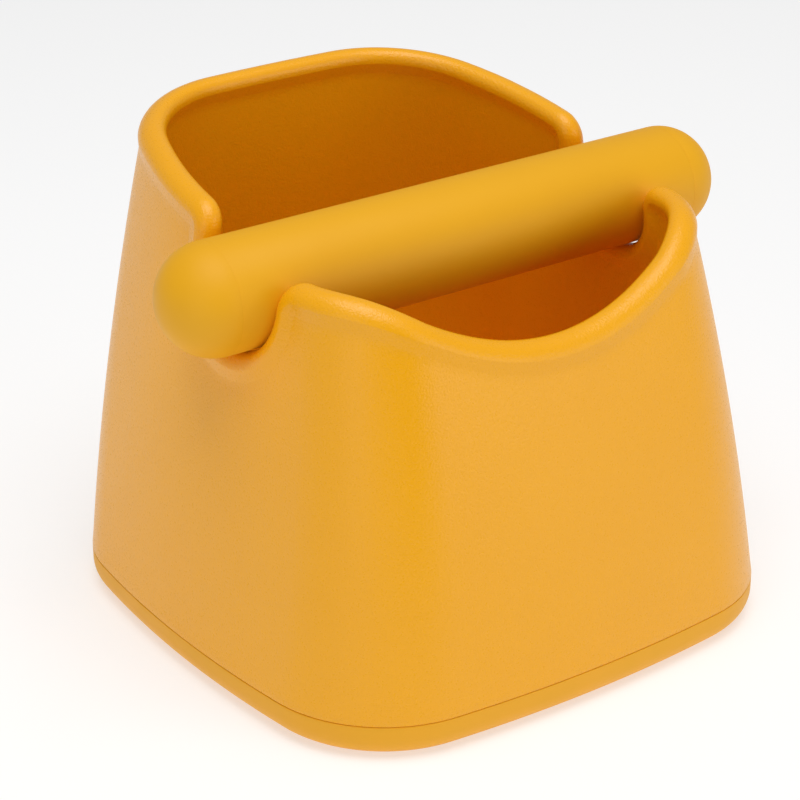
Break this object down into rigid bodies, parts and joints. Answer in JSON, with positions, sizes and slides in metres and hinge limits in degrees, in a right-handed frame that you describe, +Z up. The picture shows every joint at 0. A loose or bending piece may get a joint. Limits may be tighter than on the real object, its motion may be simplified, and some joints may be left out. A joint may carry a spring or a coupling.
{
  "type": "espresso knock box",
  "caption": "Tapered open tub with a high splash wall and scooped front, a soft base boot, and a padded knock bar that lifts out of saddles in the side walls.",
  "frame": {"origin": "middle of the base boot's underside, on the surface that the box stands on", "axes": "+X along the knock bar, -Y towards the scooped front, +Y towards the high splash wall, +Z up"},
  "size_m": [0.177, 0.1605, 0.1356],
  "materials": {
    "tub": "moulded ABS with a fine spark-eroded grain, warm yellow",
    "boot": "soft moulded rubber, warm yellow, matte",
    "core": "drawn steel rod",
    "sleeve": "smooth matte silicone, warm yellow",
    "end_caps": "smooth matte silicone, warm yellow"
  },
  "bodies": {
    "tub": {"tub_shell": "tub", "base_boot": "boot"},
    "bar": {"bar_core": "core"},
    "bar_grip": {"bar_sleeve": "sleeve", "bar_end_cap_left": "end_caps", "bar_end_cap_right": "end_caps"}
  },
  "joints": [
    {"name": "bar_lift", "type": "slide", "parent": "tub", "child": "bar", "axis": [0, 0, 1], "range_m": [0, 0.06]},
    {"name": "bar_roll", "type": "hinge", "parent": "bar", "child": "bar_grip", "pos_m": [0.003, -0.0089, 0.1078], "axis": [1, 0, 0], "continuous": true}
  ]
}
